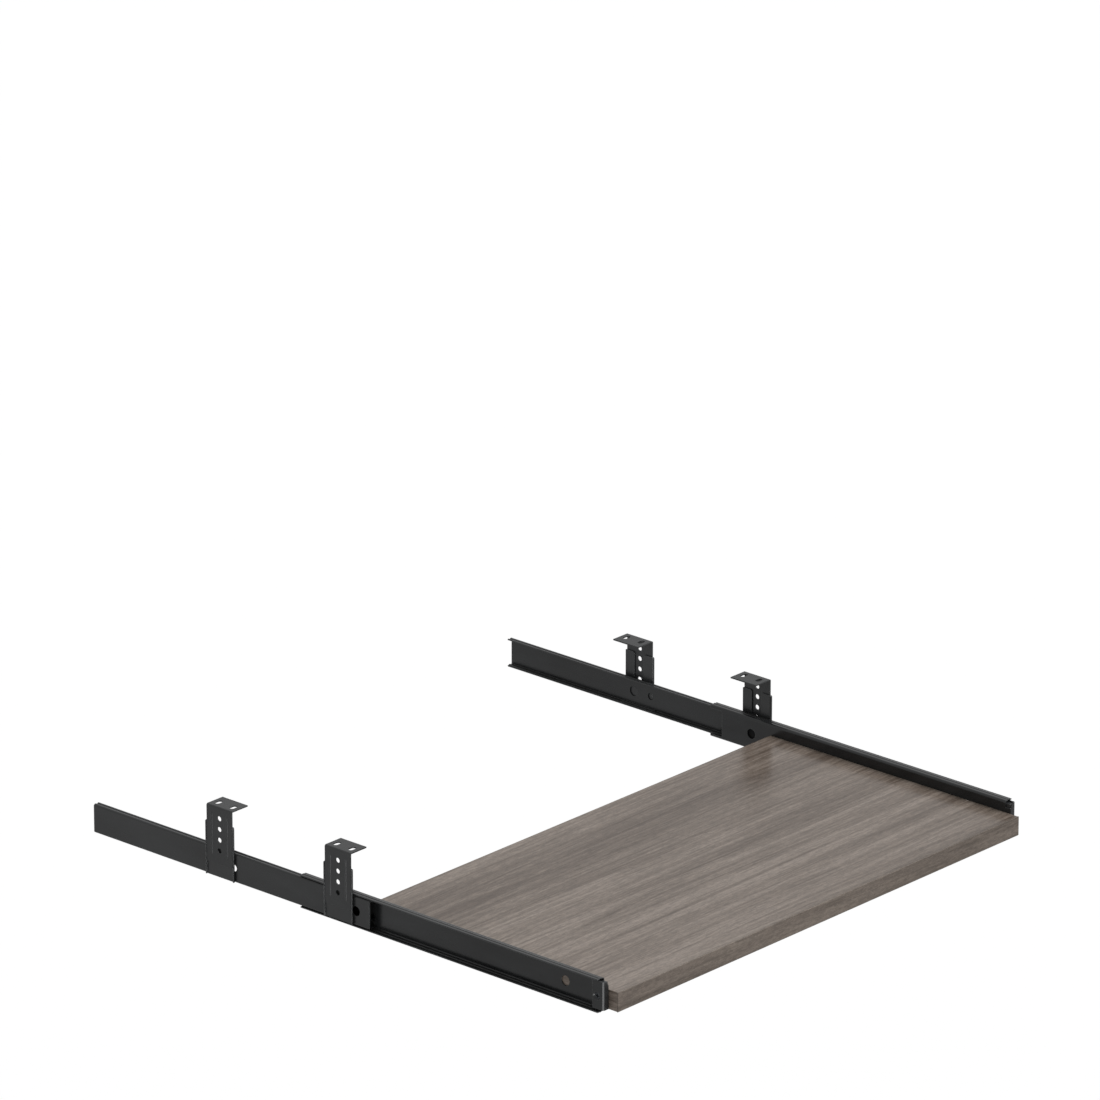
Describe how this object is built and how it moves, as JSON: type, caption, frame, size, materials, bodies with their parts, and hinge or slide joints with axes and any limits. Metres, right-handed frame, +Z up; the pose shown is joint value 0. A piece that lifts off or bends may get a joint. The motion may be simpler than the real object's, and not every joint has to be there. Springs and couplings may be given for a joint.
{
  "type": "keyboard tray under desk",
  "caption": "Pull-out keyboard tray: a laminated board between two ball slides that hang from height-adjustable brackets under a desk.",
  "frame": {"origin": "middle of the desk screw pattern, on the underside of the desk, which is the top face of the four hangers", "axes": "-Y is the front, where the user sits, +X is the user's right and +Z is up"},
  "size_m": [0.5842, 0.644, 0.0727],
  "materials": {
    "chipboard": "raw particle board",
    "decor_face": "grey-brown wood decor, satin",
    "edge_band": "grey-brown wood decor edge band, satin",
    "channel_steel": "black gloss coat on pressed steel",
    "rail_steel": "black gloss coat on pressed steel",
    "bracket_steel": "black gloss coat on pressed steel",
    "buffer_rubber": "moulded black rubber",
    "screw_steel": "black zinc",
    "cage_steel": "black phosphate on strip, with grease",
    "ball_steel": "polished bearing steel"
  },
  "bodies": {
    "hangers": {"hanger_rear_left": "bracket_steel", "hanger_rear_right": "bracket_steel", "hanger_front_left": "bracket_steel", "hanger_front_right": "bracket_steel"},
    "rails": {"fixed_rail_left": "rail_steel", "fixed_rail_right": "rail_steel", "sleeve_rear_left": "bracket_steel", "sleeve_rear_right": "bracket_steel", "sleeve_front_left": "bracket_steel", "sleeve_front_right": "bracket_steel"},
    "cages": {"ball_cage_left": "cage_steel", "ball_cage_right": "cage_steel", "balls_left": "ball_steel", "balls_right": "ball_steel"},
    "tray": {"board_core": "chipboard", "board_top_face": "decor_face", "board_bottom_face": "decor_face", "front_edge_band": "edge_band", "back_edge_band": "edge_band", "left_edge_band": "edge_band", "right_edge_band": "edge_band", "tray_channel_left": "channel_steel", "tray_channel_right": "channel_steel", "front_bumper_left": "buffer_rubber", "front_bumper_right": "buffer_rubber", "tray_screws_left": "screw_steel", "tray_screws_right": "screw_steel"}
  },
  "joints": [
    {"name": "height_adjust", "type": "slide", "parent": "hangers", "child": "rails", "axis": [0, 0, 1], "range_m": [-0.0318, 0]},
    {"name": "tray_slide", "type": "slide", "parent": "rails", "child": "tray", "axis": [0, 1, 0], "range_m": [0, 0.2685]},
    {"name": "cage_slide", "type": "slide", "parent": "rails", "child": "cages", "axis": [0, 1, 0], "range_m": [0, 0.13425]}
  ],
  "couplings": [
    {"joint": "cage_slide", "follows": "tray_slide", "ratio": 0.5}
  ]
}
